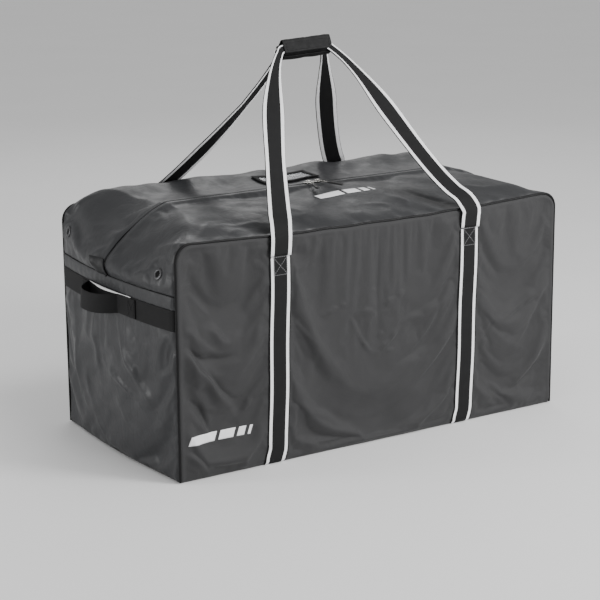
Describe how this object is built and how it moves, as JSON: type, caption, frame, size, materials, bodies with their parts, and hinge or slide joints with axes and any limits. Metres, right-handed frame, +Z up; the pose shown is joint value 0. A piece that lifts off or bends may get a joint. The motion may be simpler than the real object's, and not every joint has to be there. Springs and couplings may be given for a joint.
{
  "type": "hockey equipment bag",
  "caption": "Long boxy sports equipment bag of coated cloth, opening along a zip over its crowned top, with joined webbing carry loops and end haul handles.",
  "frame": {"origin": "middle of the bag's base, on the ground it stands on", "axes": "+X along the bag's length, -Y towards the front face, +Z up"},
  "size_m": [1.0598, 0.4956, 0.817],
  "materials": {
    "cloth": "coated satin",
    "webbing": "woven",
    "stripe": "woven",
    "piping": "satin vinyl",
    "binding": "woven tape",
    "thread": "thread",
    "vinyl": "grained vinyl",
    "fastener": "hook and loop",
    "eyelet": "gunmetal",
    "metal": "nickel plate",
    "moulded": "soft",
    "coil": "nylon",
    "board": "moulded sheet",
    "card": "card",
    "clear_film": "clear vinyl"
  },
  "bodies": {
    "bag": {"bottom_panel": "cloth", "front_panel": "cloth", "back_panel": "cloth", "left_end_panel": "cloth", "right_end_panel": "cloth", "base_board": "board", "seam_binding": "binding", "front_piping": "piping", "back_piping": "piping", "left_strap": "webbing", "right_strap": "webbing", "strap_stitching": "thread", "left_end_webbing": "webbing", "right_end_webbing": "webbing", "left_haul_handle": "webbing", "right_haul_handle": "webbing", "left_handle_lining": "stripe", "right_handle_lining": "stripe", "left_zip_tab": "cloth", "right_zip_tab": "cloth"},
    "front_top": {"front_top_panel": "cloth", "front_vents": "eyelet", "front_zip_tape": "binding", "front_zip_coil": "coil"},
    "back_top": {"back_top_panel": "cloth", "back_vents": "eyelet", "back_zip_tape": "binding", "back_zip_coil": "coil", "id_patch": "binding", "id_card": "card", "id_window": "clear_film", "id_binding": "binding"},
    "front_carry": {"front_handle": "webbing", "wrap_sleeve": "vinyl", "wrap_hook_strip": "fastener"},
    "back_carry": {"back_handle": "webbing"},
    "wrap_cover": {"wrap_flap": "vinyl", "wrap_loop_strip": "fastener"},
    "left_zip_slider": {"left_slider": "metal"},
    "right_zip_slider": {"right_slider": "metal"},
    "left_zip_pull": {"left_pull_link": "metal", "left_pull_grip": "moulded"},
    "right_zip_pull": {"right_pull_link": "metal", "right_pull_grip": "moulded"}
  },
  "joints": [
    {"name": "front_top_lift", "type": "hinge", "parent": "bag", "child": "front_top", "pos_m": [0, -0.2354, 0.476], "axis": [1, 0, 0], "range_deg": [0, 30], "deforming": ["front_zip_tape", "front_zip_coil"]},
    {"name": "back_top_lift", "type": "hinge", "parent": "bag", "child": "back_top", "pos_m": [0, 0.2354, 0.476], "axis": [-1, 0, 0], "range_deg": [0, 30], "deforming": ["back_zip_tape", "back_zip_coil"]},
    {"name": "front_handle_fold", "type": "hinge", "parent": "bag", "child": "front_carry", "pos_m": [0, -0.247, 0.478], "axis": [1, 0, 0], "range_deg": [0, 205]},
    {"name": "back_handle_fold", "type": "hinge", "parent": "bag", "child": "back_carry", "pos_m": [0, 0.247, 0.478], "axis": [-1, 0, 0], "range_deg": [0, 205]},
    {"name": "wrap_open", "type": "hinge", "parent": "front_carry", "child": "wrap_cover", "pos_m": [-0.014, 0.0002, 0.816], "axis": [1, 0, 0], "range_deg": [0, 150], "deforming": ["wrap_flap"]},
    {"name": "left_slider_run", "type": "slide", "parent": "front_top", "child": "left_zip_slider", "axis": [-1, 0, 0], "range_m": [0, 0.33]},
    {"name": "right_slider_run", "type": "slide", "parent": "front_top", "child": "right_zip_slider", "axis": [1, 0, 0], "range_m": [0, 0.33]},
    {"name": "left_pull_swing", "type": "hinge", "parent": "left_zip_slider", "child": "left_zip_pull", "pos_m": [-0.0115, -0.0032, 0.5134], "axis": [-1, 0, 0], "range_deg": [0, 170]},
    {"name": "right_pull_swing", "type": "hinge", "parent": "right_zip_slider", "child": "right_zip_pull", "pos_m": [0.0115, -0.0032, 0.5134], "axis": [-1, 0, 0], "range_deg": [0, 170]}
  ]
}
